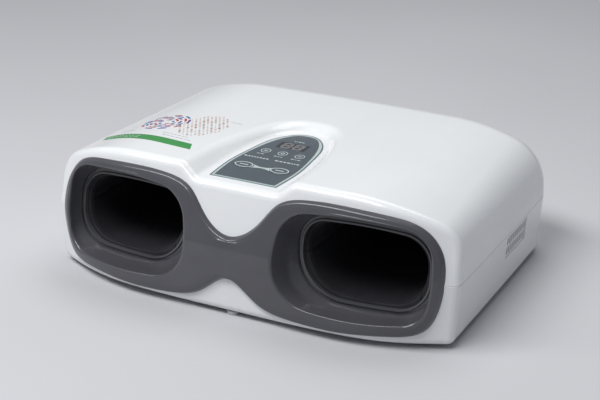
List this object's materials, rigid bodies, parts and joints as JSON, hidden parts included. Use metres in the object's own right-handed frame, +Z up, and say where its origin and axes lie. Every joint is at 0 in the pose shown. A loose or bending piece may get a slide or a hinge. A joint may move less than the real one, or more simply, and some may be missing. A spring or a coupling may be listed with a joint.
{
  "type": "air compression hand massager",
  "caption": "Two padded hand tunnels behind a spectacle-shaped front bezel in a rounded casing, with air cells, a pump and valves inside and a control panel on top.",
  "frame": {"origin": "on the floor under the middle of the object", "axes": "+X across to the right-hand tunnel as seen from behind the controls, +Y to the back, +Z up"},
  "size_m": [0.4397, 0.3141, 0.1413],
  "materials": {
    "white_shell": "gloss white moulding",
    "grey_bezel": "satin grey moulding",
    "grille_grey": "satin grey slats",
    "panel_silver": "pearl silver trim",
    "overlay_slate": "dark slate print under gloss",
    "window_black": "smoked display window",
    "lens_grey": "pale lens",
    "button_grey": "satin button",
    "circuit_green": "solder mask",
    "component_black": "moulded components",
    "ribbon_grey": "ribbon insulation",
    "chamber_grey": "moulded chamber",
    "sleeve_fabric": "ribbed black lining",
    "air_cell_grey": "coated fabric bladder",
    "screw_steel": "zinc plated",
    "motor_steel": "drawn steel can",
    "pump_grey": "moulded pump parts",
    "coil_copper": "wound copper coils",
    "foot_rubber": "soft rubber",
    "hose_silicone": "milky silicone"
  },
  "bodies": {
    "casing": {"upper_casing": "white_shell", "lower_casing": "white_shell", "front_bezel": "grey_bezel", "right_mouth_ring": "grey_bezel", "left_mouth_ring": "grey_bezel", "right_vent_grille": "grille_grey", "left_vent_grille": "grille_grey", "panel_trim": "panel_silver", "panel_overlay": "overlay_slate", "display_window": "window_black", "indicator_lenses": "lens_grey", "control_board": "circuit_green", "main_board": "circuit_green", "tact_switches": "component_black", "display_module": "component_black", "board_components": "component_black", "power_inlet": "component_black", "ribbon_cable": "ribbon_grey", "right_chamber": "chamber_grey", "left_chamber": "chamber_grey", "right_sleeve_upper": "sleeve_fabric", "right_sleeve_lower": "sleeve_fabric", "left_sleeve_upper": "sleeve_fabric", "left_sleeve_lower": "sleeve_fabric", "casing_screws": "screw_steel", "chamber_screws": "screw_steel", "board_screws": "screw_steel", "pump_motor": "motor_steel", "pump_head": "pump_grey", "pump_cradle": "pump_grey", "valve_manifold": "pump_grey", "valve_coils": "coil_copper", "corner_feet": "foot_rubber", "front_foot": "foot_rubber", "rubber_mounts": "foot_rubber", "right_upper_cell_hose": "hose_silicone", "right_lower_cell_hose": "hose_silicone", "left_upper_cell_hose": "hose_silicone", "left_lower_cell_hose": "hose_silicone", "pump_hose": "hose_silicone"},
    "start_button": {"start_button": "button_grey"},
    "mode_button": {"mode_button": "button_grey"},
    "pump_rotor": {"pump_rotor": "motor_steel"},
    "valve_plunger_1": {"valve_plunger_1": "screw_steel"},
    "valve_plunger_2": {"valve_plunger_2": "screw_steel"},
    "valve_plunger_3": {"valve_plunger_3": "screw_steel"},
    "valve_plunger_4": {"valve_plunger_4": "screw_steel"},
    "right_upper_air_cell": {"right_upper_air_cell": "air_cell_grey"},
    "right_lower_air_cell": {"right_lower_air_cell": "air_cell_grey"},
    "left_upper_air_cell": {"left_upper_air_cell": "air_cell_grey"},
    "left_lower_air_cell": {"left_lower_air_cell": "air_cell_grey"}
  },
  "joints": [
    {"name": "start_button_press", "type": "slide", "parent": "casing", "child": "start_button", "axis": [0, 0.0096, -1], "range_m": [0, 0.0008], "stiffness_N_per_m": 1200, "springref_m": -0.0004},
    {"name": "mode_button_press", "type": "slide", "parent": "casing", "child": "mode_button", "axis": [0, 0.0096, -1], "range_m": [0, 0.0008], "stiffness_N_per_m": 1200, "springref_m": -0.0004},
    {"name": "pump_rotor_spin", "type": "hinge", "parent": "casing", "child": "pump_rotor", "pos_m": [0, 0.108, 0.04], "axis": [1, 0, 0], "continuous": true},
    {"name": "valve_1_lift", "type": "slide", "parent": "casing", "child": "valve_plunger_1", "axis": [0, 0, 1], "range_m": [0, 0.0015], "stiffness_N_per_m": 400, "springref_m": -0.001},
    {"name": "valve_2_lift", "type": "slide", "parent": "casing", "child": "valve_plunger_2", "axis": [0, 0, 1], "range_m": [0, 0.0015], "stiffness_N_per_m": 400, "springref_m": -0.001},
    {"name": "valve_3_lift", "type": "slide", "parent": "casing", "child": "valve_plunger_3", "axis": [0, 0, 1], "range_m": [0, 0.0015], "stiffness_N_per_m": 400, "springref_m": -0.001},
    {"name": "valve_4_lift", "type": "slide", "parent": "casing", "child": "valve_plunger_4", "axis": [0, 0, 1], "range_m": [0, 0.0015], "stiffness_N_per_m": 400, "springref_m": -0.001},
    {"name": "right_upper_cell_inflate", "type": "slide", "parent": "casing", "child": "right_upper_air_cell", "axis": [0, 0, -1], "range_m": [0, 0.022], "stiffness_N_per_m": 200, "springref_m": -0.02, "deforming": ["right_sleeve_upper"]},
    {"name": "right_lower_cell_inflate", "type": "slide", "parent": "casing", "child": "right_lower_air_cell", "axis": [0, 0, 1], "range_m": [0, 0.014], "stiffness_N_per_m": 200, "springref_m": -0.005, "deforming": ["right_sleeve_lower"]},
    {"name": "left_upper_cell_inflate", "type": "slide", "parent": "casing", "child": "left_upper_air_cell", "axis": [0, 0, -1], "range_m": [0, 0.022], "stiffness_N_per_m": 200, "springref_m": -0.02, "deforming": ["left_sleeve_upper"]},
    {"name": "left_lower_cell_inflate", "type": "slide", "parent": "casing", "child": "left_lower_air_cell", "axis": [0, 0, 1], "range_m": [0, 0.014], "stiffness_N_per_m": 200, "springref_m": -0.005, "deforming": ["left_sleeve_lower"]}
  ]
}
